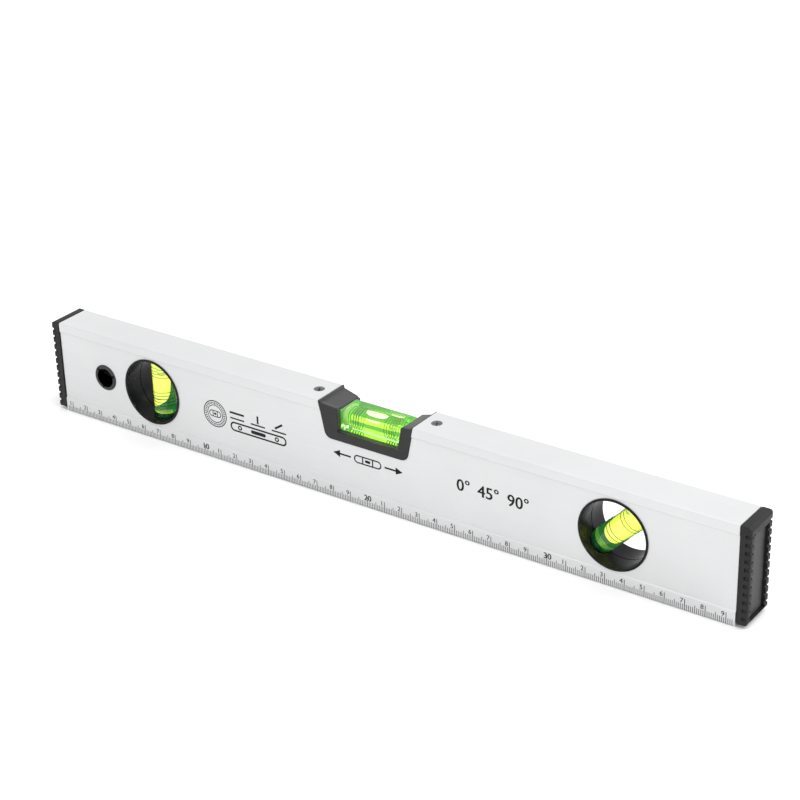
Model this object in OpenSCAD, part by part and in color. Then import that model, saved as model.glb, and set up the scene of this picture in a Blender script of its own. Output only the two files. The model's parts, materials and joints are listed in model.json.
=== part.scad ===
// Box-section spirit level with three vials, rubber-capped ends and a hang hole.
// X runs along the level, Y through its thickness (front face at -Y), Z up from the working face.

/* [Overall] */
// Length over both end caps
level_len = 400; // [300:10:600]
// Height of the beam, working face to top face
beam_h = 50; // [46:1:60]
// Thickness over the rails
beam_t = 20.4; // [20:0.1:24]

/* [Beam section] */
// Length of one end cap outside the beam
cap_len = 5.7; // [4:0.1:8]
// Height of the flat rail band along the top edge
top_rail_h = 4.8; // [4:0.1:6]
// Height of the flat rail band that carries the scale
bottom_rail_h = 7.2; // [6:0.1:8]
// Depth of the web face below the rail faces
web_recess = 0.5; // [0.3:0.1:0.8]
// Wall thickness of the two webs
web_wall = 1.4; // [1:0.1:2]
// Wall thickness of the top and the bottom
rail_wall = 2; // [1.5:0.1:3]
// Radius of the long outer edges
edge_r = 0.7; // [0.3:0.1:1]

/* [Centre vial] */
// Half width of the cradle at the top face
cradle_half_top = 27.3; // [26:0.1:32]
// Half width of the cradle at its lower edge, before rounding
cradle_half_bottom = 23.4; // [22:0.1:26]
// Height of the cradle's lower edge
cradle_floor = 31.3; // [30:0.1:34]
// Rounding of the cradle's two lower corners
cradle_corner_r = 4; // [2:0.5:6]
// Height of the opening's floor in the cradle
sight_floor = 35.8; // [35:0.1:37]
// Height of the acrylic block
block_h = 10.1; // [9.6:0.1:11]
// Thickness of the acrylic block
block_t = 14; // [12:0.1:15]
// Radius of the vial bore in the block
block_bore_r = 4.4; // [3.5:0.1:4.6]
// Distance between the two fixing screws
screw_pitch = 68; // [64:1:80]

/* [Round windows] */
// Distance of each round window from the middle
window_x = 133.5; // [120:0.5:140]
// Outer radius of the window flanges
window_flange_r = 17.7; // [17:0.1:18]
// Radius of the clear opening
window_bore_r = 16.6; // [15:0.1:16.6]
// Outer radius of the plumb vial
plumb_vial_r = 6.1; // [5:0.1:7]
// Outer radius of the tilted vial
angle_vial_r = 6.1; // [5:0.1:7]
// Tilt of the angle vial above horizontal
angle_vial_tilt = 45; // [30:15:60]

/* [Hang hole] */
// Distance of the hang hole from the middle
hang_x = 165; // [160:0.5:172]
// Radius of the hang hole inside its two bushes
hang_bore_r = 4.85; // [4:0.05:5.2]

/* [Bubbles] */
// Length of the centre bubble
bubble_len = 11.6; // [9:0.1:13]
// Radius of the centre bubble
bubble_r = 2.1; // [1.8:0.1:2.3]
// Travel of the centre bubble to each side of its resting place
bubble_travel = 7; // [5:0.5:7.5]

/* [Hidden] */
$fn = 96;

eps = 0.01;
over = 1;
fit = 0.1;
arc_steps = 8;
half_t = beam_t / 2;
beam_len = level_len - 2 * cap_len;
web_y = half_t - web_recess;
web_mid = (bottom_rail_h + beam_h - top_rail_h) / 2;
cavity_half_t = web_y - web_wall;
cavity_top = beam_h - rail_wall;

// End caps
cap_gap = 0.05;
cap_bottom = 1.5;
cap_window_half_t = 7;
cap_window_bottom = 2.9;
cap_window_top = beam_h - 4.8;
cap_panel_setback = 1.8;
cap_panel_r = 0.6;
cap_top_r = 2.4;
cap_bottom_r = 1.8;
cap_corner_r = 1;
neck_len = 0.5;
neck_inset = 0.45;
cap_edge_r = 0.6;
plug_depth = 14;
plug_wall = 1.6;
rib_count = 11;
rib_pitch = 4.05;
rib_first = 4.9;
rib_gap = 1.8;
rib_depth = 0.7;
rib_front_len = 1.8;
rib_end_len = 2.4;
rib_r = (pow(rib_gap / 2, 2) + pow(rib_depth, 2)) / (2 * rib_depth);

// Centre cradle and its vial
cradle_slope = atan((cradle_half_top - cradle_half_bottom) / (beam_h - cradle_floor));
notch_gap = 0.15;
cradle_gap = 0.05;
wall_top_outer = beam_h - 1.1;
wall_top_inner = beam_h - 1.7;
mask_t = 2.7;
sight_left = -16.3;
sight_limb = 6;
rim_t = 0.5;
rim_top = beam_h - 0.15;
ramp_outer_z = beam_h - 1.8;
ramp_inner_z = beam_h - 3.9;
ramp_r = 0.8;
pocket_left = -17.3;
pocket_right = 18.3;
block_left = pocket_left + fit;
block_right = pocket_right - fit;
block_bottom = sight_floor + fit;
bore_z = block_bottom + block_h / 2;
bore_half = 14.2;
lug_end = screw_pitch / 2 + 4.5;
lug_h = 4.4;
lug_half_t = cavity_half_t - 0.6;
screw_x = screw_pitch / 2;
screw_head_r = 2.65;
screw_shank_r = 1.45;
screw_head_h = 1.2;
screw_len = 9;
screw_sink = 0.3;
screw_top = beam_h - screw_sink;
screw_play = 0.05;
screw_turn = 25;
screw_slot_half = 1.65;
slot_w = 0.55;
slot_depth = 0.7;

// Round windows
half_gap = 0.04;
flange_t = web_recess - half_gap;
housing_body_r = window_flange_r - 0.5;
housing_hole_r = housing_body_r + fit;
seam_half_w = 0.25;
seam_depth = 0.3;
tube_half = housing_body_r;
tube_wall = 1.3;
tube_plug = 3;
tube_end = 1.6;
small_bubble_r = 2.3;
small_bubble_len = 7.6;
channel_gap = 0.25;
channel_end = 0.5;
channel_skin = 0.1;
vial_gap = 0.05;
plug_sink = 0.2;

// Hang hole
bush_flange_r = 7.05;
bush_body_r = 6;
bush_rim_r = 6.6;
bush_chamfer = 0.3;
bush_slot_start = hang_bore_r + bush_chamfer;
bush_slot_w = 1.5;
bush_slot_depth = 0.4;
bush_gap_depth = 3;
bush_slots = [18, 137, 256];

beam_colour = [0.88, 0.89, 0.9];
black_plastic = [0.13, 0.13, 0.14];
rubber_black = [0.1, 0.1, 0.1];
panel_grey = [0.3, 0.3, 0.31];
steel_dark = [0.45, 0.45, 0.46];
clear_acrylic = [0.85, 0.95, 0.85, 0.35];
vial_green = [0.75, 0.95, 0.2, 0.6];
bubble_clear = [1, 1, 0.9, 0.5];
plug_white = [0.88, 0.9, 0.85];

// Points of an arc about c from angle a0 to a1
function arc(c, r, a0, a1) =
    [for (i = [0:arc_steps]) let (a = a0 + (a1 - a0) * i / arc_steps) c + r * [cos(a), sin(a)]];

// Rectangle from corner a to corner b with rounded corners
function round_rect(a, b, r) = concat(
    arc([b[0] - r, b[1] - r], r, 0, 90),
    arc([a[0] + r, b[1] - r], r, 90, 180),
    arc([a[0] + r, a[1] + r], r, 180, 270),
    arc([b[0] - r, a[1] + r], r, 270, 360));

// Right-hand half of the beam's outline in Y and Z, from the bottom up
beam_side = concat(
    arc([half_t - edge_r, edge_r], edge_r, 270, 360),
    [[half_t, bottom_rail_h], [web_y, bottom_rail_h + web_recess],
     [web_y, beam_h - top_rail_h - web_recess], [half_t, beam_h - top_rail_h]],
    arc([half_t - edge_r, beam_h - edge_r], edge_r, 0, 90));

function reversed(p) = [for (i = [len(p) - 1:-1:0]) p[i]];
function mirrored(p) = [for (q = reversed(p)) [-q[0], q[1]]];

// Half width of the cradle at height z, grown by g
function cradle_half(z, g) =
    cradle_half_bottom + (z - cradle_floor) * tan(cradle_slope) + g / cos(cradle_slope);

// Lower right corner of the cradle's outline and its side up to height z
function cradle_side(z, g) = let (r = cradle_corner_r + g, zb = cradle_floor - g)
    concat(arc([cradle_half(zb + r, g) - r / cos(cradle_slope), zb + r], r, -90, -cradle_slope),
           [[cradle_half(z, g), z]]);

// Stands a Y-Z outline up and runs it from x0 to x1
module along_x(x0, x1) {
    translate([x0, 0, 0])
        rotate([90, 0, 90])
            linear_extrude(x1 - x0)
                children();
}

// Stands an X-Z outline up and runs it from y0 to y1
module along_y(y0, y1) {
    translate([0, y1, 0])
        rotate([90, 0, 0])
            linear_extrude(y1 - y0)
                children();
}

// Cylinder along Y from y0 to y1 at x, z
module y_cylinder(x, z, y0, y1, r) {
    translate([x, y1, z])
        rotate([90, 0, 0])
            cylinder(h = y1 - y0, r = r);
}

// Places a vial that is drawn along Z at one of the round windows
module at_window(x, tilt) {
    translate([x, 0, web_mid])
        rotate([0, 90 - tilt, 0])
            children();
}

// Round-ended cylinder along Z, centred
module capsule(length, r) {
    rotate_extrude()
        intersection() {
            union() {
                translate([0, length / 2 - r])
                    circle(r);
                translate([0, -length / 2 + r])
                    circle(r);
                translate([0, -length / 2 + r])
                    square([r, length - 2 * r]);
            }
            translate([0, -length / 2])
                square([r + over, length]);
        }
}

module beam() {
    color(beam_colour)
        difference() {
            along_x(-beam_len / 2, beam_len / 2)
                polygon(concat(beam_side, mirrored(beam_side)));
            translate([-level_len / 2, -cavity_half_t, rail_wall])
                cube([level_len, 2 * cavity_half_t, cavity_top - rail_wall]);
            for (x = [-window_x, window_x])
                y_cylinder(x, web_mid, -half_t - over, half_t + over, housing_hole_r);
            y_cylinder(-hang_x, web_mid, -half_t - over, half_t + over, bush_body_r + fit);
            along_y(-half_t - over, half_t + over)
                let (side = cradle_side(beam_h + over, notch_gap))
                    polygon(concat(side, mirrored(side)));
            for (x = [-screw_x, screw_x])
                translate([x, 0, 0])
                    screw_seat();
        }
}

// Countersunk seat on the Z axis, open to the top face
module screw_seat() {
    translate([0, 0, screw_top - screw_head_h - fit])
        cylinder(h = screw_head_h, r1 = screw_shank_r + fit, r2 = screw_head_r + fit);
    translate([0, 0, screw_top - fit - eps])
        cylinder(h = beam_h - screw_top + over, r = screw_head_r + fit);
    translate([0, 0, cavity_top - over])
        cylinder(h = screw_top - screw_head_h / 2 - cavity_top + over, r = screw_shank_r + fit);
}

module cradle_screws() {
    color(steel_dark)
        for (x = [-screw_x, screw_x])
            translate([x, 0, screw_top])
                difference() {
                    union() {
                        translate([0, 0, -screw_head_h])
                            cylinder(h = screw_head_h, r1 = screw_shank_r, r2 = screw_head_r);
                        translate([0, 0, -screw_len])
                            cylinder(h = screw_len - screw_head_h / 2, r = screw_shank_r);
                    }
                    for (a = [screw_turn, screw_turn + 90])
                        rotate([0, 0, a])
                            cube([2 * screw_slot_half, slot_w, 2 * slot_depth], center = true);
                }
}

// Right half of the cradle's outline, with its thin outer rim and the sloping top of its front wall
cradle_profile = concat(cradle_side(rim_top, -cradle_gap),
    [[cradle_half(rim_top, 0) - rim_t, rim_top], [cradle_half(wall_top_outer, 0) - rim_t, wall_top_outer],
     [pocket_right, wall_top_inner]]);

// Space above the ramp beside the vial at the right, inside the rim
ramp_centre = [pocket_right + ramp_r, ramp_inner_z - ramp_r];
ramp_end = cradle_half(ramp_outer_z, 0) - rim_t;
ramp_angle = atan((ramp_outer_z - ramp_inner_z) / (ramp_end - ramp_centre[0]));
ramp_space = concat(
    [[cradle_half(beam_h, 0) - rim_t, beam_h], [ramp_end, ramp_outer_z]],
    arc(ramp_centre, ramp_r, 90 + ramp_angle, 180),
    [[pocket_right - over, ramp_centre[1]], [pocket_right - over, beam_h]]);

// Cradle with a sight opening in its front wall and an open pocket behind it
module vial_cradle() {
    color(black_plastic)
        difference() {
            union() {
                along_y(-half_t, half_t)
                    polygon(concat(cradle_profile, mirrored(cradle_profile)));
                for (s = [-1, 1])
                    translate([s * (cradle_half_bottom + lug_end) / 2, 0, cavity_top - fit - lug_h / 2])
                        cube([lug_end - cradle_half_bottom, 2 * lug_half_t, lug_h], center = true);
            }
            along_y(-half_t + mask_t, half_t + over) {
                polygon(ramp_space);
                polygon(mirrored(ramp_space));
            }
            along_y(-half_t - over, -block_t / 2)
                polygon([[sight_left, sight_floor],
                         [cradle_half(sight_floor, 0) - sight_limb, sight_floor],
                         [cradle_half(beam_h, 0) - sight_limb, beam_h], [sight_left, beam_h]]);
            translate([pocket_left, -block_t / 2 - fit, sight_floor])
                cube([pocket_right - pocket_left, block_t / 2 + fit + half_t + over, beam_h]);
            for (x = [-screw_x, screw_x])
                translate([x, 0, cavity_top - lug_h - over])
                    cylinder(h = lug_h + 2 * over, r = screw_shank_r + screw_play);
        }
}

module centre_vial_block() {
    color(clear_acrylic)
        difference() {
            translate([block_left, -block_t / 2, block_bottom])
                cube([block_right - block_left, block_t, block_h]);
            translate([block_left - over, 0, bore_z])
                rotate([0, 90, 0])
                    cylinder(h = bore_half - block_left + over, r = block_bore_r);
        }
}

module centre_vial_plug() {
    color(plug_white)
        translate([block_left + plug_sink, 0, bore_z])
            rotate([0, 90, 0])
                cylinder(h = -bore_half - block_left - plug_sink, r = block_bore_r - vial_gap);
}

// Path that the centre bubble sweeps, high in its bore
bubble_z = bore_z + block_bore_r - vial_gap - channel_gap - bubble_r - channel_skin;

module centre_liquid() {
    color(vial_green)
        difference() {
            translate([-bore_half + vial_gap, 0, bore_z])
                rotate([0, 90, 0])
                    cylinder(h = 2 * (bore_half - vial_gap), r = block_bore_r - vial_gap);
            translate([0, 0, bubble_z])
                rotate([0, 90, 0])
                    capsule(bubble_len + 2 * (bubble_travel + channel_gap), bubble_r + channel_gap);
        }
}

module centre_bubble() {
    color(bubble_clear)
        translate([0, 0, bubble_z])
            rotate([0, 90, 0])
                capsule(bubble_len, bubble_r);
}

// One half of a round window housing on the side s, with sockets for the vial
module window_housing(x, tilt, vial_r, s) {
    color(black_plastic)
        translate([x, 0, web_mid])
            rotate([s * -90, 0, 0])
                difference() {
                    union() {
                        translate([0, 0, half_gap])
                            cylinder(h = half_t - half_gap, r = housing_body_r);
                        translate([0, 0, web_y + half_gap])
                            cylinder(h = flange_t, r = window_flange_r);
                    }
                    cylinder(h = half_t + over, r = window_bore_r);
                    cylinder(h = seam_half_w, r = window_bore_r + seam_depth);
                    rotate([s * 90, 0, 0])
                        rotate([0, 90 - tilt, 0])
                            cylinder(h = 4 * tube_half, r = vial_r + vial_gap, center = true);
                }
}

// Clear tube, blind at its upper end
module vial_tube(x, tilt, r) {
    color(clear_acrylic)
        at_window(x, tilt)
            difference() {
                translate([0, 0, -tube_half])
                    cylinder(h = 2 * tube_half, r = r);
                translate([0, 0, -tube_half - over])
                    cylinder(h = 2 * tube_half + over - tube_end, r = r - tube_wall);
            }
}

module vial_plug(x, tilt, r) {
    color(plug_white)
        at_window(x, tilt)
            translate([0, 0, -tube_half])
                cylinder(h = tube_plug, r = r - tube_wall - vial_gap);
}

liquid_low = -tube_half + tube_plug + vial_gap;
liquid_high = tube_half - tube_end - vial_gap;
// Centre of a small bubble when it lies at the top of its tube, and at the bottom
small_bubble_top = liquid_high - channel_gap - small_bubble_len / 2 - channel_end;
small_bubble_bottom = liquid_low + channel_gap + small_bubble_len / 2 + channel_end;

module vial_liquid(x, tilt, r) {
    color(vial_green)
        at_window(x, tilt)
            difference() {
                translate([0, 0, liquid_low])
                    cylinder(h = liquid_high - liquid_low, r = r - tube_wall - vial_gap);
                translate([0, 0, (small_bubble_top + small_bubble_bottom) / 2])
                    capsule(small_bubble_top - small_bubble_bottom + small_bubble_len
                            + 2 * channel_gap, small_bubble_r + channel_gap);
            }
}

module vial_bubble(x, tilt) {
    color(bubble_clear)
        at_window(x, tilt)
            translate([0, 0, small_bubble_top])
                capsule(small_bubble_len, small_bubble_r);
}

// Scalloped groove round one upright corner of the right bumper, on the side s
module rib_groove(s) {
    corner = [level_len / 2 - cap_corner_r, s * (half_t - cap_corner_r)];
    ring_r = cap_corner_r + rib_r - rib_depth;
    translate([corner[0], corner[1], 0]) {
        translate([0, s * ring_r, 0])
            rotate([0, -90, 0])
                cylinder(h = rib_front_len, r = rib_r);
        translate([ring_r, 0, 0])
            rotate([s * 90, 0, 0])
                cylinder(h = rib_end_len, r = rib_r);
        rotate([0, 0, s > 0 ? 0 : -90])
            rotate_extrude(angle = 90)
                translate([ring_r, 0])
                    circle(rib_r);
    }
}

// Rounded block of the right bumper from x0 to x1
module bumper_body(x0, x1) {
    intersection() {
        along_y(-half_t, half_t)
            polygon(concat([[x0, cap_bottom]],
                arc([x1 - cap_bottom_r, cap_bottom + cap_bottom_r], cap_bottom_r, 270, 360),
                arc([x1 - cap_top_r, beam_h - cap_top_r], cap_top_r, 0, 90),
                [[x0, beam_h]]));
        linear_extrude(beam_h + over)
            polygon(concat([[x0, -half_t]],
                arc([x1 - cap_corner_r, -half_t + cap_corner_r], cap_corner_r, 270, 360),
                arc([x1 - cap_corner_r, half_t - cap_corner_r], cap_corner_r, 0, 90),
                [[x0, half_t]]));
        along_x(x0, x1)
            polygon(round_rect([-half_t, cap_bottom], [half_t, beam_h], cap_edge_r));
    }
}

// Rubber end frame at the right end, with a shadow line next to the beam and ribs round its corners
module bumper_shape() {
    end_x = level_len / 2;
    start_x = beam_len / 2 + cap_gap;
    difference() {
        union() {
            along_x(start_x, start_x + neck_len + over)
                polygon(round_rect([-half_t + neck_inset, cap_bottom + neck_inset],
                                   [half_t - neck_inset, beam_h - neck_inset], cap_edge_r));
            bumper_body(start_x + neck_len, end_x);
        }
        translate([beam_len / 2 - over, -cap_window_half_t, cap_window_bottom])
            cube([cap_len + 2 * over, 2 * cap_window_half_t, cap_window_top - cap_window_bottom]);
        for (i = [0:rib_count - 1])
            for (s = [-1, 1])
                translate([0, 0, rib_first + i * rib_pitch])
                    rib_groove(s);
    }
}

// Rigid plug that holds the bumper and shows as a panel in its window
module core_shape() {
    plug_half_t = cavity_half_t - fit;
    difference() {
        union() {
            translate([beam_len / 2 - plug_depth, -plug_half_t, rail_wall + fit])
                cube([plug_depth, 2 * plug_half_t, cavity_top - rail_wall - 2 * fit]);
            along_x(beam_len / 2 - eps, level_len / 2 - cap_panel_setback)
                polygon(round_rect([-cap_window_half_t + fit, cap_window_bottom + fit],
                                   [cap_window_half_t - fit, cap_window_top - fit], cap_panel_r));
        }
        translate([beam_len / 2 - plug_depth - over, -plug_half_t + plug_wall, rail_wall + fit + plug_wall])
            cube([plug_depth + over - plug_wall, 2 * (plug_half_t - plug_wall),
                  cavity_top - rail_wall - 2 * (fit + plug_wall)]);
    }
}

module left_bumper() {
    color(rubber_black)
        mirror([1, 0, 0])
            bumper_shape();
}

module right_bumper() {
    color(rubber_black)
        bumper_shape();
}

module left_cap_core() {
    color(panel_grey)
        mirror([1, 0, 0])
            core_shape();
}

module right_cap_core() {
    color(panel_grey)
        core_shape();
}

// Flanged bush of the hang hole on the side s, its rim parted by three slots
module hang_grommet(s) {
    color(black_plastic)
        translate([-hang_x, 0, web_mid])
            rotate([s * -90, 0, 0])
                difference() {
                    union() {
                        translate([0, 0, half_gap])
                            cylinder(h = web_y - half_gap + fit, r = bush_body_r);
                        translate([0, 0, web_y + half_gap])
                            cylinder(h = flange_t, r1 = bush_flange_r, r2 = bush_rim_r);
                    }
                    translate([0, 0, -over])
                        cylinder(h = half_t + 2 * over, r = hang_bore_r);
                    translate([0, 0, half_t - bush_chamfer])
                        cylinder(h = bush_chamfer + eps, r1 = hang_bore_r, r2 = hang_bore_r + bush_chamfer);
                    for (a = bush_slots)
                        rotate([0, 0, a]) {
                            translate([bush_slot_start, -bush_slot_w / 2, half_t - bush_slot_depth])
                                cube([bush_flange_r, bush_slot_w, over]);
                            translate([bush_slot_start, -bush_slot_w / 2, half_t - bush_gap_depth])
                                cube([bush_body_r - bush_slot_start, bush_slot_w, bush_gap_depth]);
                        }
                }
}

beam();
left_bumper();
right_bumper();
left_cap_core();
right_cap_core();
vial_cradle();
cradle_screws();
centre_vial_block();
centre_liquid();
centre_bubble();
centre_vial_plug();
window_housing(-window_x, 90, plumb_vial_r, -1);  // plumb_front_housing
window_housing(-window_x, 90, plumb_vial_r, 1);  // plumb_rear_housing
vial_tube(-window_x, 90, plumb_vial_r);  // plumb_vial_tube
vial_liquid(-window_x, 90, plumb_vial_r);  // plumb_liquid
vial_bubble(-window_x, 90);  // plumb_bubble
vial_plug(-window_x, 90, plumb_vial_r);  // plumb_vial_plug
window_housing(window_x, angle_vial_tilt, angle_vial_r, -1);  // angle_front_housing
window_housing(window_x, angle_vial_tilt, angle_vial_r, 1);  // angle_rear_housing
vial_tube(window_x, angle_vial_tilt, angle_vial_r);  // angle_vial_tube
vial_liquid(window_x, angle_vial_tilt, angle_vial_r);  // angle_liquid
vial_bubble(window_x, angle_vial_tilt);  // angle_bubble
vial_plug(window_x, angle_vial_tilt, angle_vial_r);  // angle_vial_plug
hang_grommet(-1);  // hang_grommet_front
hang_grommet(1);  // hang_grommet_rear
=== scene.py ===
import json
import math

import bmesh
import bpy
from mathutils import Matrix, Vector

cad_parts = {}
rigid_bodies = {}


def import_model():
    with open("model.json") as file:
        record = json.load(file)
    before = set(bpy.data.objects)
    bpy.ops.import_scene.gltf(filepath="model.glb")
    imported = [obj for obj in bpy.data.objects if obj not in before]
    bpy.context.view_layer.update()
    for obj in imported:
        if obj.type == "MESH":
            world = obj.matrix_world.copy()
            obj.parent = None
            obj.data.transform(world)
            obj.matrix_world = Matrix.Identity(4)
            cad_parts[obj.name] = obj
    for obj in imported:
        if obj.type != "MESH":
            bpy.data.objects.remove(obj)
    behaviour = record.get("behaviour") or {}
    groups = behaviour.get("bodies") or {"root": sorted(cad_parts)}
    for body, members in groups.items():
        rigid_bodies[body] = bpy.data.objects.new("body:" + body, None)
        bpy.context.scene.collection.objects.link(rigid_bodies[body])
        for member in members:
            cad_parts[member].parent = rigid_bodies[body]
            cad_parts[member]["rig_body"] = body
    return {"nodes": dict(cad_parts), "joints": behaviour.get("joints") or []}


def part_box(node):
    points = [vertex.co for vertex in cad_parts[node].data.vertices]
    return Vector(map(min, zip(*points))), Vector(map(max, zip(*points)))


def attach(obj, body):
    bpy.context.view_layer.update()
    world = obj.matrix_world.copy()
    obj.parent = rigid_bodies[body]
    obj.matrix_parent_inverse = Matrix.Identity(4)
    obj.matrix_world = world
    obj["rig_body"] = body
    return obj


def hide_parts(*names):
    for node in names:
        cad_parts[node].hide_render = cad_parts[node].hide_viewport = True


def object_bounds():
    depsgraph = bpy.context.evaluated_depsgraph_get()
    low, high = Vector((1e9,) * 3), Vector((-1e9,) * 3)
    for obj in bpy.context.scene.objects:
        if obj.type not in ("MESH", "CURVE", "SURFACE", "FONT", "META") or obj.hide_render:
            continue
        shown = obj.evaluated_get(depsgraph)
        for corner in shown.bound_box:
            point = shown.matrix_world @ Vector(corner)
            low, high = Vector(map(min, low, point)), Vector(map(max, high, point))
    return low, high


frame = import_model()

# Looks of a box-section spirit level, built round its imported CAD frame. Lengths are in metres.
CAD_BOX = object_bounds()
MM = 0.001
NODES = frame["nodes"]
JOINT_AXES = {j["name"]: Vector(j["axis"]).normalized() for j in frame["joints"]}

# Places read from the frame
BEAM_LOW, BEAM_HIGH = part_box("beam")
FRONT_Y = BEAM_LOW.y
BLOCK_LOW, BLOCK_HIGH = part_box("centre_vial_block")
LIQUID_LOW, LIQUID_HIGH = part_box("centre_liquid")
SCALE_ZERO = CAD_BOX[0].x

# Surfaces of the beam and of the plastics set in it
WEB_RECESS = 0.5 * MM
WEB_Y = FRONT_Y + WEB_RECESS
EDGE_R = 0.7 * MM
WEAR_HEIGHT = 6 * MM
# Painted light on the cradle covers surfaces closer to the middle plane than this, fading in over the next
# distance.
PAINTED_LIGHT_REACH = BEAM_HIGH.y - 0.5 * MM
PAINTED_LIGHT_FADE = 0.3 * MM

# Mesh making. Angles are in degrees.
WELD_GAP = 2e-6
FLAT_ANGLE = 0.4
BEVEL_ANGLE = 28
SMOOTH_ANGLE = 35
SMOOTH_ALL_OVER = 180
FULL_TURN = 360
LATHE_STEPS = 64
RING_TURNS = 64
RING_SIDES = 8

# Vials. Line places are in mm from the middle, along the vial.
BLOCK_EDGE = 0.45 * MM
TUBE_CHAMFER = 0.4 * MM
SPIRIT_CHAMFER = 0.8 * MM
CENTRE_LINES = (7.5, 8.9, 10.3, 11.7, 13.1)
CENTRE_LINE_WIDTH = 0.34 * MM
PLUMB_LINES = (8.4, 6.6, -5.4, -7.3, -9.2)
ANGLE_LINES = (7.3, 5.2, -2.6, -4.8)
ANGLE_LINE_SWEEP = 200
TUBE_LINE_WIDTH = 0.3 * MM
TUBE_LINE_SUNK = 0.02 * MM

# Bubbles. Width, height and sink are shares of the radius at each station.
BUBBLE_STATIONS = 28
BUBBLE_SIDES = 32
BUBBLE_BLUNTNESS = 0.8
BUBBLE_WIDTH = 1.25
BUBBLE_HEIGHT = 0.85
BUBBLE_SINK = 0.75
BUBBLE_TIP_GAP = 0.12 * MM
CENTRE_BUBBLE_SLIMMING = 0.82
CENTRE_BUBBLE_GAP = 0.25 * MM
ANGLE_BUBBLE_GAP = 0.15 * MM

# Print
INK_PROUD = 0.025 * MM
INK_BURIED = 0.02 * MM
INK_LAYER = 0.003 * MM
FONT_CAP_SHARE = 0.7
FONT_CURVE_STEPS = 3

# Scale along the lower front edge
LAST_CM = 39
SCALE_MARGIN_MM = 0.3
CM_TICK_TOP = 5.8 * MM
HALF_CM_TICK_TOP = 4.2 * MM
MM_TICK_TOP = 3.1 * MM
CM_TICK_HALF = 0.18 * MM
TICK_HALF = 0.145 * MM
TICK_LOW_ANGLE = -55
TICK_STEPS = 5

# Signs on the web. Each row of ANGLE_SIGNS and ANGLE_FIGURES starts with its x in mm.
ROUND_SIGN_X, ROUND_SIGN_Z = -92.5 * MM, 25.0 * MM
ROUND_SIGN_TICKS = 36
ANGLE_SIGNS = ((-78.5, 0), (-65.5, 90), (-52.5, 45))
ANGLE_SIGN_Z, ANGLE_BASE_Z = 28.6 * MM, 25.6 * MM
LEVEL_SIGN_X, LEVEL_SIGN_Z = -65.5 * MM, 21.2 * MM
ARROW_SIGN_X_MM, ARROW_SIGN_Z = 0.6, 24.4 * MM
ANGLE_FIGURES = ((51.0, "0°"), (62.5, "45°"), (78.5, "90°"))
LARGE_CURVE, SMALL_CURVE, TINY_CURVE = 72, 32, 24

# Viewpoint, worked out from the scale's marks and the beam's edges in the photo
CAMERA_PLACE = Vector((0.52490, -0.71311, 0.49207))
CAMERA_AIM = Vector((0.01342, 0, 0.05656))
CAMERA_ROLL = -1.5326
CAMERA_LENS = 94.611
CAMERA_SENSOR = 36
CAMERA_NEAR = 0.01

# Studio. A light is its name, place, power in watts and side length.
LIGHTS = (("key", (0.1, -0.3, 1.2), 5.0, 0.7), ("rim", (0.75, 0.5, 0.9), 6.5, 0.6))
FLOOR_SIZE = 3
FLOOR_DROP = 0.2 * MM


# ---------------------------------------------------------------- meshes

def finish_mesh(bm, name, material, body, smooth_angle=SMOOTH_ANGLE):
    """Turns a bmesh into a piece that rides on a body and takes a slot's finish."""
    bmesh.ops.recalc_face_normals(bm, faces=bm.faces)
    mesh = bpy.data.meshes.new(name)
    bm.to_mesh(mesh)
    bm.free()
    for attribute in [a for a in mesh.attributes if a.name == "custom_normal"]:
        mesh.attributes.remove(attribute)
    mesh.polygons.foreach_set("use_smooth", [True] * len(mesh.polygons))
    mesh.set_sharp_from_angle(angle=math.radians(smooth_angle))
    mesh.materials.clear()
    mesh.materials.append(material)
    piece = bpy.data.objects.new(name, mesh)
    bpy.context.scene.collection.objects.link(piece)
    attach(piece, body)
    return piece


def softened(node, material, width, segments=2):
    """Stands for a CAD node with the same shape and small rounded edges."""
    bm = bmesh.new()
    bm.from_mesh(NODES[node].data)
    bmesh.ops.remove_doubles(bm, verts=bm.verts, dist=WELD_GAP)
    bmesh.ops.dissolve_limit(bm, angle_limit=math.radians(FLAT_ANGLE), verts=bm.verts, edges=bm.edges)
    piece = finish_mesh(bm, node + "_softened", material, NODES[node]["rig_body"])
    bevel = piece.modifiers.new("rounded_edges", "BEVEL")
    bevel.width = width
    bevel.segments = segments
    bevel.limit_method = "ANGLE"
    bevel.angle_limit = math.radians(BEVEL_ANGLE)
    bevel.harden_normals = True
    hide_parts(node)
    return piece


def frame_along(origin, axis):
    """Matrix that puts local Z on an axis in the XZ plane, with local Y kept on Y."""
    z = axis.normalized()
    y = Vector((0, 1, 0))
    x = y.cross(z).normalized()
    return Matrix(((x.x, y.x, z.x, origin.x), (x.y, y.y, z.y, origin.y),
                   (x.z, y.z, z.z, origin.z), (0, 0, 0, 1)))


def join_rings(bm, rings, sides):
    """Adds the faces between neighbouring rings. A ring of one vertex is a closed end."""
    for low, high in zip(rings, rings[1:]):
        for i in range(sides):
            j = (i + 1) % sides
            if len(low) == 1:
                bm.faces.new((low[0], high[j], high[i]))
            elif len(high) == 1:
                bm.faces.new((low[i], low[j], high[0]))
            else:
                bm.faces.new((low[i], low[j], high[j], high[i]))


def add_lathe(bm, profile, place):
    """Adds a closed turned shape. The profile is (along, radius) pairs that start and end on the axis."""
    rings = []
    for along, radius in profile:
        if radius <= 0:
            rings.append([bm.verts.new(place @ Vector((0, 0, along)))])
            continue
        ring = []
        for i in range(LATHE_STEPS):
            a = 2 * math.pi * i / LATHE_STEPS
            ring.append(bm.verts.new(place @ Vector((radius * math.cos(a), radius * math.sin(a), along))))
        rings.append(ring)
    join_rings(bm, rings, LATHE_STEPS)


def rod_profile(low, high, radius, chamfer):
    """Outline of a turned rod with chamfered ends."""
    return [(low, 0), (low, radius - chamfer), (low + chamfer, radius),
            (high - chamfer, radius), (high, radius - chamfer), (high, 0)]


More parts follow.
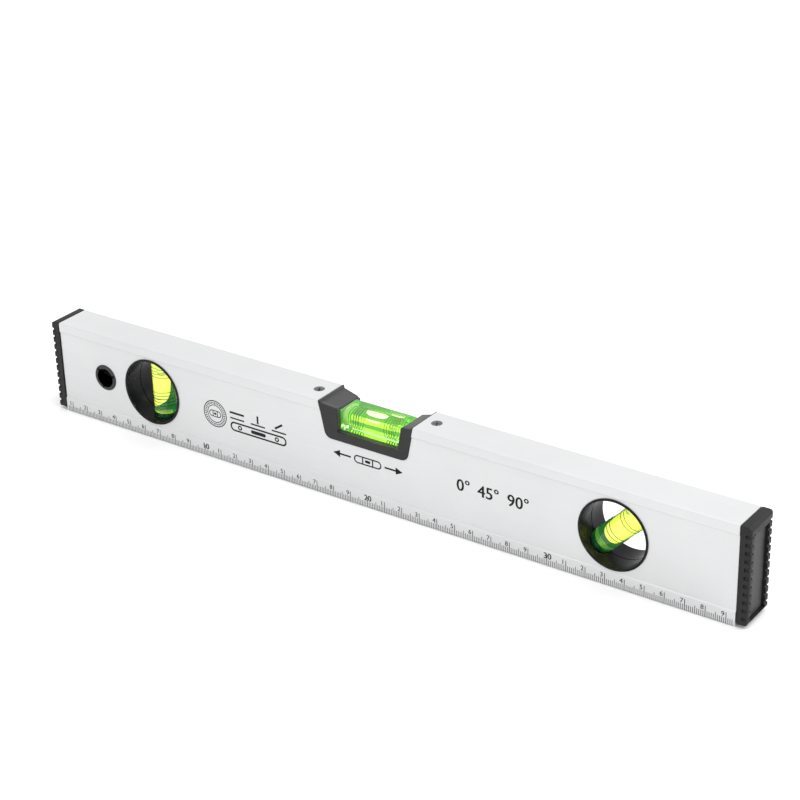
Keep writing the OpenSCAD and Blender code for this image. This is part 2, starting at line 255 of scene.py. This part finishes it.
def add_ring(bm, radius, thickness, along, place, sweep):
    """Adds a thin closed ring round an axis, or an arc of it that faces -Y when sweep is below 360."""
    closed = sweep >= FULL_TURN
    loops = []
    for i in range(RING_TURNS if closed else RING_TURNS + 1):
        a = math.radians(-90 - sweep / 2 + sweep * i / RING_TURNS)
        loop = []
        for k in range(RING_SIDES):
            b = 2 * math.pi * k / RING_SIDES
            r = radius + thickness / 2 * math.cos(b)
            loop.append(bm.verts.new(place @ Vector((
                r * math.cos(a), r * math.sin(a), along + thickness / 2 * math.sin(b)))))
        loops.append(loop)
    for i in range(RING_TURNS):
        for k in range(RING_SIDES):
            a, b = loops[i], loops[(i + 1) % len(loops)]
            m = (k + 1) % RING_SIDES
            bm.faces.new((a[k], b[k], b[m], a[m]))
    if not closed:
        bm.faces.new(loops[0])
        bm.faces.new(list(reversed(loops[-1])))


def add_bubble(bm, length, radius, place, up, ceiling_r):
    """Adds an air pocket along local Z that is pressed against the tube wall on the side of up.

    up is a unit vector in the local frame, across Z. The pocket keeps within ceiling_r of the axis."""
    across = Vector((0, 0, 1)).cross(up)
    rings = []
    for i in range(BUBBLE_STATIONS + 1):
        t = math.pi * i / BUBBLE_STATIONS
        along = -math.cos(t) * length / 2
        size = radius * math.sin(t) ** BUBBLE_BLUNTNESS
        if i in (0, BUBBLE_STATIONS):
            tip = Vector((0, 0, along)) + up * (ceiling_r - BUBBLE_TIP_GAP)
            rings.append([bm.verts.new(place @ tip)])
            continue
        ring = []
        for k in range(BUBBLE_SIDES):
            a = 2 * math.pi * k / BUBBLE_SIDES
            wide = size * BUBBLE_WIDTH * math.cos(a)
            high = ceiling_r - BUBBLE_SINK * size + BUBBLE_HEIGHT * size * math.sin(a)
            reach = math.hypot(wide, high)
            if reach > ceiling_r:
                wide, high = wide * ceiling_r / reach, high * ceiling_r / reach
            ring.append(bm.verts.new(place @ (across * wide + up * high + Vector((0, 0, along)))))
        rings.append(ring)
    join_rings(bm, rings, BUBBLE_SIDES)


# ---------------------------------------------------------------- shapes of the print

def ink_layers(bm, outline, face_y):
    """Two copies of an outline of (x, z) points, just in front of a face that looks to -Y and under it."""
    depths = (face_y - INK_PROUD, face_y + INK_BURIED)
    return [[bm.verts.new((x, y, z)) for x, z in outline] for y in depths]


def add_prism(bm, outline, face_y):
    """Adds a thin closed plate."""
    front, back = ink_layers(bm, outline, face_y)
    bm.faces.new(front)
    bm.faces.new(list(reversed(back)))
    for i in range(len(outline)):
        j = (i + 1) % len(outline)
        bm.faces.new((front[j], front[i], back[i], back[j]))


def add_band(bm, outer, inner, face_y):
    """Adds a thin closed band between two outlines with the same number of points."""
    outer_front, outer_back = ink_layers(bm, outer, face_y)
    inner_front, inner_back = ink_layers(bm, inner, face_y)
    for i in range(len(outer)):
        j = (i + 1) % len(outer)
        bm.faces.new((outer_front[i], outer_front[j], inner_front[j], inner_front[i]))
        bm.faces.new((outer_back[j], outer_back[i], inner_back[i], inner_back[j]))
        bm.faces.new((outer_front[j], outer_front[i], outer_back[i], outer_back[j]))
        bm.faces.new((inner_front[i], inner_front[j], inner_back[j], inner_back[i]))


def pill(x, z, half_w, half_h, steps=48):
    """Outline of a round-ended bar, which is a circle where the two halves are equal."""
    r = min(half_w, half_h)
    points = []
    for i in range(steps):
        a = 2 * math.pi * (i + 0.5) / steps
        c, s = math.cos(a), math.sin(a)
        points.append((x + math.copysign(half_w - r, c) + r * c, z + math.copysign(half_h - r, s) + r * s))
    return points


def add_hoop(bm, x, z, outer_r, inner_r, steps, face_y):
    """Adds a flat circular band."""
    add_band(bm, pill(x, z, outer_r, outer_r, steps), pill(x, z, inner_r, inner_r, steps), face_y)


def stroke(x0, z0, x1, z1, width):
    """Outline of a straight stroke."""
    d = Vector((x1 - x0, z1 - z0)).normalized() * width / 2
    return [(x0 - d.y, z0 + d.x), (x0 + d.y, z0 - d.x), (x1 + d.y, z1 - d.x), (x1 - d.y, z1 + d.x)]


def add_numerals(bm, text, x, z, height, face_y, anchor, heavy):
    """Adds upright figures with their lower edge at z, as thin closed solids.

    Three copies side by side, each in its own layer, widen the strokes. heavy is the step between them."""
    curve = bpy.data.curves.new("figures", "FONT")
    curve.body = text
    curve.size = height / FONT_CAP_SHARE
    curve.align_x = anchor
    curve.resolution_u = FONT_CURVE_STEPS
    curve.extrude = (INK_PROUD + INK_BURIED) / 2
    holder = bpy.data.objects.new("figures", curve)
    bpy.context.scene.collection.objects.link(holder)
    bpy.context.view_layer.update()
    mesh = bpy.data.meshes.new_from_object(holder.evaluated_get(bpy.context.evaluated_depsgraph_get()))
    mesh.transform(Matrix.Rotation(math.radians(90), 4, "X"))
    for step in (-1, 0, 1):
        copy = mesh.copy()
        y = face_y + (INK_BURIED - INK_PROUD) / 2 + step * INK_LAYER
        rise = (1 - 2 * abs(step)) * heavy / 3
        copy.transform(Matrix.Translation((x + step * heavy, y, z + rise)))
        bm.from_mesh(copy)
        bpy.data.meshes.remove(copy)
    bpy.data.objects.remove(holder)
    bpy.data.curves.remove(curve)
    bpy.data.meshes.remove(mesh)


# ---------------------------------------------------------------- materials

class Finish:
    """A material made of noise-driven nodes round one Principled shader. Texture scales are per metre."""

    def __init__(self, name, **sockets):
        self.material = bpy.data.materials.new(name)
        self.material.use_nodes = True
        self.tree = self.material.node_tree
        self.shader = self.tree.nodes["Principled BSDF"]
        for key, value in sockets.items():
            self.shader.inputs[key.replace("_", " ")].default_value = value
        self.place = self.tree.nodes.new("ShaderNodeTexCoord").outputs["Object"]

    def node(self, kind, **properties):
        made = self.tree.nodes.new(kind)
        for key, value in properties.items():
            setattr(made, key, value)
        return made

    def noise(self, scale, detail=3, roughness=0.5, stretch=(1, 1, 1), turn=(0, 0, 0), warp=0):
        mapping = self.node("ShaderNodeMapping")
        mapping.inputs["Scale"].default_value = stretch
        mapping.inputs["Rotation"].default_value = turn
        self.tree.links.new(self.place, mapping.inputs["Vector"])
        made = self.node("ShaderNodeTexNoise")
        made.inputs["Scale"].default_value = scale
        made.inputs["Detail"].default_value = detail
        made.inputs["Roughness"].default_value = roughness
        made.inputs["Distortion"].default_value = warp
        self.tree.links.new(mapping.outputs["Vector"], made.inputs["Vector"])
        return made.outputs["Fac"]

    def spread(self, value, low, high, to_low=0, to_high=1):
        """Value that goes from to_low to to_high as the given one goes from low to high."""
        made = self.node("ShaderNodeMapRange")
        for key, number in zip(("From Min", "From Max", "To Min", "To Max"), (low, high, to_low, to_high)):
            made.inputs[key].default_value = number
        self.tree.links.new(value, made.inputs["Value"])
        return made.outputs["Result"]

    def combine(self, a, b, operation="MULTIPLY"):
        """One operation on two values, each a number or a node's output, held between 0 and 1."""
        made = self.node("ShaderNodeMath", operation=operation, use_clamp=True)
        for socket, value in zip(made.inputs, (a, b)):
            if isinstance(value, (int, float)):
                socket.default_value = value
            else:
                self.tree.links.new(value, socket)
        return made.outputs["Value"]

    def blend(self, fac, a, b):
        """Colour that goes from a to b as fac goes from 0 to 1. Each is a colour or a node's output."""
        made = self.node("ShaderNodeMix", data_type="RGBA")
        self.tree.links.new(fac, made.inputs["Factor"])
        for key, value in (("A", a), ("B", b)):
            target = [s for s in made.inputs if s.name == key and s.type == "RGBA"][0]
            if isinstance(value, tuple):
                target.default_value = (*value, 1)
            else:
                self.tree.links.new(value, target)
        return [s for s in made.outputs if s.type == "RGBA"][0]

    def position(self, axis):
        parts = self.node("ShaderNodeSeparateXYZ")
        self.tree.links.new(self.place, parts.inputs["Vector"])
        return parts.outputs[axis]

    def side(self, axis):
        """Distance from the middle plane across an axis."""
        position = self.position(axis)
        made = self.node("ShaderNodeMath", operation="ABSOLUTE")
        self.tree.links.new(position, made.inputs[0])
        return made.outputs["Value"]

    def bump(self, value, distance, strength, under=None):
        made = self.node("ShaderNodeBump")
        made.inputs["Strength"].default_value = strength
        made.inputs["Distance"].default_value = distance
        self.tree.links.new(value, made.inputs["Height"])
        if under is not None:
            self.tree.links.new(under, made.inputs["Normal"])
        return made.outputs["Normal"]

    def drive(self, **sockets):
        for key, value in sockets.items():
            self.tree.links.new(value, self.shader.inputs[key.replace("_", " ")])
        return self.material


def satin_aluminium():
    """Silver lacquer with fine lines along X, faint clouds, scuffs, and wear close to the working face."""
    dull, bright = (0.625, 0.628, 0.634), (0.655, 0.658, 0.664)
    line_grey, scuff_grey, wear_grey = (0.605, 0.608, 0.615), (0.72, 0.723, 0.728), (0.56, 0.56, 0.57)
    f = Finish("satin_aluminium", Metallic=0.5, IOR=1.5)
    lines = f.noise(1, 4, 0.6, stretch=(25, 2600, 2600))
    cloud = f.noise(28, 3)
    scuff = f.spread(f.noise(1, 2, 0.5, stretch=(60, 900, 900), turn=(0.3, 0.25, 0.1)), 0.68, 0.74)
    near_edge = f.combine(1.0, f.spread(f.position("Z"), 0.0, WEAR_HEIGHT), "SUBTRACT")
    worn = f.combine(f.combine(near_edge, 0.4), f.spread(f.noise(420, 4, 0.7), 0.5, 0.62))
    tint = f.blend(f.spread(cloud, 0.3, 0.7), dull, bright)
    tint = f.blend(f.combine(f.spread(lines, 0.35, 0.65), 0.3), tint, line_grey)
    tint = f.blend(f.combine(scuff, 0.25), tint, scuff_grey)
    tint = f.blend(worn, tint, wear_grey)
    rough = f.combine(f.spread(lines, 0.3, 0.7, 0.44, 0.5), f.combine(scuff, 0.06), "SUBTRACT")
    normal = f.bump(lines, 0.01 * MM, 0.12)
    normal = f.bump(f.noise(5200, 2), 0.01 * MM, 0.2, under=normal)
    return f.drive(Base_Color=tint, Roughness=rough, Normal=normal)


def moulded_plastic(name, dark, light, rough, shine=0.3, grain=4200, depth=0.02, painted_light_tint=None):
    """Dark plastic or rubber. depth is the depth of its grain in mm.

    The last argument is a lighter colour painted on the surfaces that lie away from the level's front and
    back: painted light on the cradle's ramps and tops."""
    f = Finish(name, IOR=1.5, Specular_IOR_Level=shine)
    cloud = f.spread(f.noise(90, 4, 0.6), 0.35, 0.65)
    rub = f.spread(f.noise(1, 3, 0.6, stretch=(500, 140, 1600), turn=(0.4, 0.2, 0.7)), 0.62, 0.74)
    tint = f.blend(cloud, dark, light)
    tint = f.blend(f.combine(rub, 0.3), tint, tuple(min(1, c * 2.2) for c in light))
    # Painted light: surfaces away from the front and back faces take a lighter colour, as if lit from
    # above.
    if painted_light_tint is not None:
        tint = f.blend(f.spread(f.side("Y"), PAINTED_LIGHT_REACH - PAINTED_LIGHT_FADE, PAINTED_LIGHT_REACH, 1, 0), tint, painted_light_tint)
    roughness = f.combine(f.spread(cloud, 0, 1, rough - 0.05, rough + 0.07), f.combine(rub, 0.1), "ADD")
    normal = f.bump(f.noise(grain, 3, 0.6), depth * MM, 0.5)
    return f.drive(Base_Color=tint, Roughness=roughness, Normal=normal)


def zinc_steel():
    f = Finish("zinc_steel", Metallic=0.9)
    spots = f.spread(f.noise(1600, 4, 0.7), 0.35, 0.65)
    tint = f.blend(spots, (0.09, 0.09, 0.095), (0.26, 0.26, 0.27))
    roughness = f.spread(spots, 0, 1, 0.28, 0.5)
    return f.drive(Base_Color=tint, Roughness=roughness, Normal=f.bump(spots, 0.02 * MM, 0.4))


def clear_plastic(name, tint, ior, glow=(0, 0, 0)):
    """Slightly wavy clear plastic. glow stands for the light of the spirit that it carries."""
    f = Finish(name, Base_Color=(*tint, 1), IOR=ior, Transmission_Weight=1.0,
               Emission_Color=(*glow, 1), Emission_Strength=1.0)
    wave = f.noise(130, 2, 0.4)
    smear = f.spread(f.noise(900, 4, 0.7), 0.55, 0.75, 0.0, 0.07)
    return f.drive(Roughness=smear, Normal=f.bump(wave, 0.05 * MM, 0.35))


def spirit(name, thin, deep, glow, strength):
    """Clear liquid. glow stands for its fluorescence."""
    f = Finish(name, IOR=1.03, Transmission_Weight=1.0, Roughness=0.0,
               Emission_Color=(*glow, 1), Emission_Strength=strength)
    swirl = f.spread(f.noise(240, 3, 0.5, warp=0.6), 0.35, 0.65)
    return f.drive(Base_Color=f.blend(swirl, thin, deep))


def air_pocket(name, glow, strength):
    """Bubble. glow is painted light: a painted highlight that makes the bubble look bright and white."""
    f = Finish(name, IOR=1.3, Transmission_Weight=0.85,
               Emission_Color=(*glow, 1), Emission_Strength=strength)
    film = f.spread(f.noise(700, 2), 0.4, 0.7)
    return f.drive(Base_Color=f.blend(film, (0.98, 1.0, 0.9), (0.9, 0.97, 0.75)),
                   Roughness=f.spread(film, 0, 1, 0.0, 0.05))


def milky_plug(name, dark, light):
    f = Finish(name, IOR=1.46, Subsurface_Weight=0.25, Subsurface_Scale=0.002)
    cloud = f.spread(f.noise(600, 3), 0.35, 0.65)
    return f.drive(Base_Color=f.blend(cloud, dark, light),
                   Roughness=f.spread(cloud, 0, 1, 0.25, 0.45))


def printed_ink(name, dark, light):
    f = Finish(name, IOR=1.45, Specular_IOR_Level=0.2)
    speckle = f.spread(f.noise(2600, 4, 0.7), 0.4, 0.7)
    return f.drive(Base_Color=f.blend(speckle, dark, light), Roughness=f.spread(speckle, 0, 1, 0.4, 0.6))


def pale_floor():
    f = Finish("pale_floor", Roughness=0.9, IOR=1.3)
    cloud = f.spread(f.noise(3, 2), 0.3, 0.7)
    return f.drive(Base_Color=f.blend(cloud, (0.93, 0.93, 0.93), (0.96, 0.96, 0.96)))


ALUMINIUM = satin_aluminium()
HOUSING = moulded_plastic("housing_plastic", (0.005, 0.005, 0.006), (0.009, 0.009, 0.010), 0.3, 0.13)
# The cradle's ramps, tops and inner walls get a lighter painted-light colour.
CRADLE = moulded_plastic("cradle_plastic", (0.010, 0.010, 0.011), (0.017, 0.017, 0.018), 0.4,
                         painted_light_tint=(0.055, 0.055, 0.057))
BUSH = moulded_plastic("bush_plastic", (0.016, 0.016, 0.017), (0.030, 0.030, 0.032), 0.4)
PANEL = moulded_plastic("panel_plastic", (0.030, 0.030, 0.032), (0.048, 0.048, 0.050), 0.5,
                        grain=2600, depth=0.05)
RUBBER = moulded_plastic("ribbed_rubber", (0.008, 0.008, 0.0085), (0.014, 0.014, 0.0145), 0.5, 0.25,
                         grain=1900, depth=0.06)
STEEL = zinc_steel()
BLOCK = clear_plastic("clear_block", (0.62, 0.80, 0.38), 1.42, glow=(0.020, 0.12, 0.010))
TUBE = clear_plastic("clear_tube", (0.95, 0.98, 0.88), 1.45)
CENTRE_SPIRIT = spirit("centre_spirit", (0.90, 0.90, 0.18), (0.58, 0.82, 0.13), (0.18, 0.74, 0.06), 0.22)
TUBE_SPIRIT = spirit("tube_spirit", (0.92, 0.91, 0.15), (0.85, 0.89, 0.11), (0.0, 0.55, 0.22), 0.12)
# The bubbles' emission is a painted highlight: strong and pale violet in the centre bubble, faint in the
# tube bubbles.
CENTRE_AIR = air_pocket("centre_air_pocket", (0.55, 0.44, 1.0), 1.6)
TUBE_AIR = air_pocket("tube_air_pocket", (0.95, 1.0, 0.85), 0.10)
CENTRE_PLUG = milky_plug("milky_plug", (0.72, 0.78, 0.62), (0.86, 0.88, 0.8))
TUBE_PLUG = milky_plug("green_plug", (0.01, 0.10, 0.05), (0.03, 0.17, 0.07))
INK = printed_ink("black_ink", (0.004, 0.004, 0.0045), (0.012, 0.012, 0.0125))
SCALE_INK = printed_ink("scale_ink", (0.02, 0.02, 0.021), (0.045, 0.045, 0.047))
LINE_INK = printed_ink("line_ink", (0.02, 0.010, 0.002), (0.05, 0.025, 0.004))


# ---------------------------------------------------------------- beam, caps and fittings

def build_body():
    softened("beam", ALUMINIUM, width=0.12 * MM)
    for side in ("left", "right"):
        softened(side + "_bumper", RUBBER, width=0.14 * MM)
        softened(side + "_cap_core", PANEL, width=0.2 * MM)
    softened("vial_cradle", CRADLE, width=0.22 * MM, segments=3)
    softened("cradle_screws", STEEL, width=0.07 * MM)
    for vial in ("plumb", "angle"):
        for half in ("front", "rear"):
            softened(f"{vial}_{half}_housing", HOUSING, width=0.16 * MM)
    for half in ("front", "rear"):
        softened("hang_grommet_" + half, BUSH, width=0.1 * MM)


# ---------------------------------------------------------------- vials

def span_along(node, radius, origin, axis):
    """Start and end of a round rod along an axis in the XZ plane, worked out from its box."""
    low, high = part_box(node)
    middle = ((low + high) / 2 - origin).dot(axis)
    half = ((high - low).z - 2 * radius * abs(axis.x)) / 2 / axis.z
    return middle - half, middle + half


def turned_piece(name, profile, place, material, node):
    """Turned solid that rides on the level and stands for a CAD node."""
    bm = bmesh.new()
    add_lathe(bm, profile, place)
    piece = finish_mesh(bm, name, material, "level")
    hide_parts(node)


def line_piece(vial, radius, width, lines, place, sweep=FULL_TURN):
    """Marking lines of a vial, at places in mm from its middle."""
    bm = bmesh.new()
    for along in lines:
        add_ring(bm, radius, width, along * MM, place, sweep)
    finish_mesh(bm, vial + "_vial_lines", LINE_INK, "level")


def air_piece(vial, material, length, radius, place, up, ceiling_r):
    """Bubble of a vial, on its own body."""
    bm = bmesh.new()
    add_bubble(bm, length, radius, place, up, ceiling_r)
    piece = finish_mesh(bm, vial + "_air", material, vial + "_bubble_body", SMOOTH_ALL_OVER)
    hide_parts(vial + "_bubble")


def build_centre_vial():
    """Clear block with its spirit, five lines on each side of the middle, plug and bubble."""
    bm = bmesh.new()
    bmesh.ops.create_cube(bm, size=1)
    bmesh.ops.scale(bm, vec=BLOCK_HIGH - BLOCK_LOW, verts=bm.verts)
    bmesh.ops.translate(bm, vec=(BLOCK_HIGH + BLOCK_LOW) / 2, verts=bm.verts)
    bmesh.ops.bevel(bm, geom=bm.edges[:], offset=BLOCK_EDGE, segments=3, profile=0.6, affect="EDGES")
    block = finish_mesh(bm, "clear_block", BLOCK, "level")
    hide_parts("centre_vial_block")

    centre = (LIQUID_LOW + LIQUID_HIGH) / 2
    half = (LIQUID_HIGH.x - LIQUID_LOW.x) / 2
    radius = (LIQUID_HIGH.z - LIQUID_LOW.z) / 2
    place = frame_along(centre, JOINT_AXES["centre_bubble_slide"])
    profile = rod_profile(-half, half, radius, SPIRIT_CHAMFER)
    turned_piece("centre_spirit", profile, place, CENTRE_SPIRIT, "centre_liquid")

    lines = [side * x for x in CENTRE_LINES for side in (-1, 1)]
    line_piece("centre", radius, CENTRE_LINE_WIDTH, lines, place)

    low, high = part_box("centre_vial_plug")
    start, end = low.x - centre.x, high.x - centre.x
    profile = [(start, 0), (start, 2.2 * MM), (start + 0.5 * MM, 3.9 * MM), (start + 1.0 * MM, radius),
               (end - 0.9 * MM, radius), (end - 0.5 * MM, 3.4 * MM), (end, 3.0 * MM), (end, 0)]
    turned_piece("centre_plug", profile, place, CENTRE_PLUG, "centre_vial_plug")

    low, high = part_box("centre_bubble")
    bubble_r = CENTRE_BUBBLE_SLIMMING * (high.z - low.z) / 2
    up = place.to_3x3().inverted() @ Vector((0, 0, 1))
    air_piece("centre", CENTRE_AIR, high.x - low.x, bubble_r, place, up, radius - CENTRE_BUBBLE_GAP)


def build_tube_vial(name, lines, sweep):
    """Clear rod across a round window, with its spirit, lines, plug and bubble."""
    axis = JOINT_AXES[name + "_bubble_slide"]
    low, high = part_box(name + "_vial_tube")
    centre = (low + high) / 2
    radius = (high.y - low.y) / 2
    place = frame_along(centre, axis)
    start, end = span_along(name + "_vial_tube", radius, centre, axis)
    profile = rod_profile(start, end, radius, TUBE_CHAMFER)
    turned_piece(name + "_rod", profile, place, TUBE, name + "_vial_tube")

    low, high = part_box(name + "_liquid")
    inner = (high.y - low.y) / 2
    start, end = span_along(name + "_liquid", inner, centre, axis)
    profile = rod_profile(start, end, inner, SPIRIT_CHAMFER)
    turned_piece(name + "_spirit", profile, place, TUBE_SPIRIT, name + "_liquid")

    line_piece(name, radius - TUBE_LINE_SUNK, TUBE_LINE_WIDTH, lines, place, sweep)

    start, end = span_along(name + "_vial_plug", inner, centre, axis)
    nose = [(start, 2.4 * MM), (start + 0.5 * MM, inner - 0.3 * MM), (start + 0.9 * MM, inner)]
    tail = [(end - 0.8 * MM, inner), (end - 0.4 * MM, 3.6 * MM), (end, 3.2 * MM)]
    profile = [(start, 0), *nose, *tail, (end, 0)]
    turned_piece(name + "_plug", profile, place, TUBE_PLUG, name + "_vial_plug")

    low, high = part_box(name + "_bubble")
    bubble_r = (high.y - low.y) / 2
    bubble_half = ((high - low).z - 2 * bubble_r) / 2 / axis.z + bubble_r
    bubble_place = frame_along((low + high) / 2, axis)
    up = Vector((0, -1, 0))
    ceiling_r = bubble_r
    if axis.x > 0:
        up = (bubble_place.to_3x3().inverted() @ Vector((-axis.z, 0, axis.x))).normalized()
        ceiling_r = inner - ANGLE_BUBBLE_GAP
    air_piece(name, TUBE_AIR, 2 * bubble_half, bubble_r, bubble_place, up, ceiling_r)


# ---------------------------------------------------------------- printed scale and signs

def add_tick(bm, x, half, top):
    """Adds a tick that runs from under the beam's rounded lower front edge up its front."""
    path = []
    for i in range(TICK_STEPS + 1):
        a = math.radians(TICK_LOW_ANGLE * (1 - i / TICK_STEPS))
        path.append((math.cos(a), math.sin(a), EDGE_R + EDGE_R * math.sin(a)))
    path.append((1, 0, top))
    rows = []
    for c, s, z in path:
        for side in (-1, 1):
            row = []
            for proud in (INK_PROUD, -INK_BURIED):
                y = FRONT_Y + EDGE_R * (1 - c) - proud * c
                row.append(bm.verts.new((x + side * half, y, z + proud * s)))
            rows.append(row)
    for i in range(0, len(rows) - 2, 2):
        a, b, c, d = rows[i], rows[i + 1], rows[i + 3], rows[i + 2]
        bm.faces.new((a[0], b[0], c[0], d[0]))
        bm.faces.new((d[1], c[1], b[1], a[1]))
        bm.faces.new((b[0], b[1], c[1], c[0]))
        bm.faces.new((a[1], a[0], d[0], d[1]))
    bm.faces.new((rows[0][0], rows[0][1], rows[1][1], rows[1][0]))
    bm.faces.new((rows[-1][0], rows[-1][1], rows[-2][1], rows[-2][0]))


def build_scale():
    """Millimetre scale along the lower front edge, with its figures."""
    first = math.ceil((BEAM_LOW.x - SCALE_ZERO) / MM + SCALE_MARGIN_MM)
    last = math.floor((BEAM_HIGH.x - SCALE_ZERO) / MM - SCALE_MARGIN_MM)
    bm = bmesh.new()
    for k in range(first, last + 1):
        x = SCALE_ZERO + k * MM
        if k % 10 == 0:
            add_tick(bm, x, CM_TICK_HALF, CM_TICK_TOP)
        else:
            add_tick(bm, x, TICK_HALF, MM_TICK_TOP if k % 5 else HALF_CM_TICK_TOP)
    finish_mesh(bm, "scale_ticks", SCALE_INK, "level")

    bm = bmesh.new()
    for cm in range(1, LAST_CM + 1):
        if cm % 10:
            x = SCALE_ZERO + 10 * cm * MM
            add_numerals(bm, str(cm % 10), x - 0.7 * MM, z=3.6 * MM, height=2.4 * MM, face_y=FRONT_Y,
                         anchor="RIGHT", heavy=0.05 * MM)
    finish_mesh(bm, "scale_figures", SCALE_INK, "level")
    bm = bmesh.new()
    for cm in range(10, LAST_CM + 1, 10):
        x = SCALE_ZERO + 10 * cm * MM
        add_numerals(bm, str(cm), x + 0.3 * MM, z=3.7 * MM, height=3.0 * MM, face_y=FRONT_Y,
                     anchor="CENTER", heavy=0.1 * MM)
    finish_mesh(bm, "scale_tens", INK, "level")


def add_vial_sign(bm, x, z, half_w, half_h, line):
    """Round-ended tube with two lines and a bubble, the usual sign for a vial."""
    add_band(bm, pill(x, z, half_w, half_h), pill(x, z, half_w - line, half_h - line), WEB_Y)
    for side in (-1, 1):
        line_x = x + side * half_w * 0.36
        line_half = half_h - line * 0.8
        add_prism(bm, stroke(line_x, z - line_half, line_x, z + line_half, line), WEB_Y)
    add_prism(bm, pill(x, z, half_w * 0.2, half_h * 0.34, TINY_CURVE), WEB_Y)


def add_round_sign(bm, x, z):
    """Vial sign in two rings with ticks between them. Every ninth tick is longer."""
    for outer_r, inner_r in ((7.3, 6.8), (4.9, 4.5)):
        add_hoop(bm, x, z, outer_r * MM, inner_r * MM, LARGE_CURVE, WEB_Y)
    for i in range(ROUND_SIGN_TICKS):
        a = math.radians(FULL_TURN / ROUND_SIGN_TICKS * i)
        c, s = math.cos(a), math.sin(a)
        start = (5.4 if i % (ROUND_SIGN_TICKS // 4) else 5.1) * MM
        end = 6.4 * MM
        add_prism(bm, stroke(x + start * c, z + start * s, x + end * c, z + end * s, 0.5 * MM), WEB_Y)
    add_vial_sign(bm, x, z, half_w=3.8 * MM, half_h=1.8 * MM, line=0.45 * MM)


def add_angle_sign(bm, x, angle):
    """Level, upright or sloped bar over a base line. The sloped bar is flatter than its angle."""
    a = math.radians(angle)
    dx, dz = 3.0 * MM * math.cos(a), 3.0 * MM * math.sin(a)
    reach = 1.0 if angle == 0 else 0.72
    half_x, half_z = 1.5 * dx * reach, dz * reach
    z = ANGLE_SIGN_Z
    add_prism(bm, stroke(x - half_x, z - half_z, x + half_x, z + half_z, 1.1 * MM), WEB_Y)
    base_half = 4.4 * MM
    add_prism(bm, stroke(x - base_half, ANGLE_BASE_Z, x + base_half, ANGLE_BASE_Z, 0.8 * MM), WEB_Y)


def add_level_sign(bm, x, z):
    """Outline of a level with two round windows and a vial."""
    add_band(bm, pill(x, z, 17.5 * MM, 2.6 * MM), pill(x, z, 16.6 * MM, 1.7 * MM), WEB_Y)
    for side in (-1, 1):
        add_hoop(bm, x + side * 11.5 * MM, z, 1.3 * MM, 0.6 * MM, SMALL_CURVE, WEB_Y)
    add_prism(bm, pill(x, z, 4.6 * MM, 0.95 * MM, SMALL_CURVE), WEB_Y)


def add_arrow_sign(bm, x_mm, z):
    """Vial sign between two arrows that point away from it."""
    x = x_mm * MM
    add_vial_sign(bm, x, z, half_w=8.0 * MM, half_h=2.2 * MM, line=0.7 * MM)
    for side in (-1, 1):
        add_prism(bm, stroke(x + side * 9.8 * MM, z, x + side * 17.0 * MM, z, 0.9 * MM), WEB_Y)
        tip_x, barb_x, barb_rise = (x_mm + side * 20.2) * MM, (x_mm + side * 16.2) * MM, 1.9 * MM
        tip = [(tip_x, z), (barb_x, z + barb_rise), (barb_x, z - barb_rise)]
        add_prism(bm, tip if side < 0 else list(reversed(tip)), WEB_Y)


def build_marks():
    """Plain signs in the places where the real level carries its printing."""
    bm = bmesh.new()
    add_round_sign(bm, ROUND_SIGN_X, ROUND_SIGN_Z)
    for x, angle in ANGLE_SIGNS:
        add_angle_sign(bm, x * MM, angle)
    add_level_sign(bm, LEVEL_SIGN_X, LEVEL_SIGN_Z)
    add_arrow_sign(bm, ARROW_SIGN_X_MM, ARROW_SIGN_Z)
    for x, figures in ANGLE_FIGURES:
        add_numerals(bm, figures, x * MM, z=24.7 * MM, height=6.0 * MM, face_y=WEB_Y,
                     anchor="LEFT", heavy=0.17 * MM)
    finish_mesh(bm, "printed_signs", INK, "level")


# ---------------------------------------------------------------- studio

def build_camera(scene):
    camera = bpy.data.cameras.new("camera")
    camera.lens = CAMERA_LENS
    camera.sensor_width = CAMERA_SENSOR
    camera.clip_start = CAMERA_NEAR
    holder = bpy.data.objects.new("camera", camera)
    scene.collection.objects.link(holder)
    holder.location = CAMERA_PLACE
    turn = (CAMERA_AIM - CAMERA_PLACE).to_track_quat("-Z", "Y").to_matrix()
    turn = turn @ Matrix.Rotation(math.radians(CAMERA_ROLL), 3, "Z")
    holder.rotation_euler = turn.to_euler()
    scene.camera = holder


def build_lights(scene):
    world = bpy.data.worlds.new("white_surround")
    scene.world = world
    world.use_nodes = True
    background = world.node_tree.nodes["Background"]
    background.inputs["Color"].default_value = (1, 1, 1, 1)
    background.inputs["Strength"].default_value = 1.0
    for name, place, power, size in LIGHTS:
        light = bpy.data.lights.new(name, "AREA")
        light.energy = power
        light.size = size
        lamp = bpy.data.objects.new(name, light)
        scene.collection.objects.link(lamp)
        lamp.location = place
        lamp.rotation_euler = (-Vector(place)).to_track_quat("-Z", "Y").to_euler()


def build_floor(scene):
    bm = bmesh.new()
    bmesh.ops.create_grid(bm, x_segments=2, y_segments=2, size=FLOOR_SIZE)
    bmesh.ops.translate(bm, vec=(0, 0, CAD_BOX[0].z - FLOOR_DROP), verts=bm.verts)
    mesh = bpy.data.meshes.new("floor")
    bm.to_mesh(mesh)
    bm.free()
    mesh.materials.append(pale_floor())
    floor = bpy.data.objects.new("floor", mesh)
    scene.collection.objects.link(floor)


def build_studio():
    scene = bpy.context.scene
    scene.view_settings.view_transform = "Standard"
    build_camera(scene)
    build_lights(scene)
    build_floor(scene)


build_body()
build_centre_vial()
build_tube_vial("plumb", PLUMB_LINES, FULL_TURN)
build_tube_vial("angle", ANGLE_LINES, ANGLE_LINE_SWEEP)
build_scale()
build_marks()
build_studio()
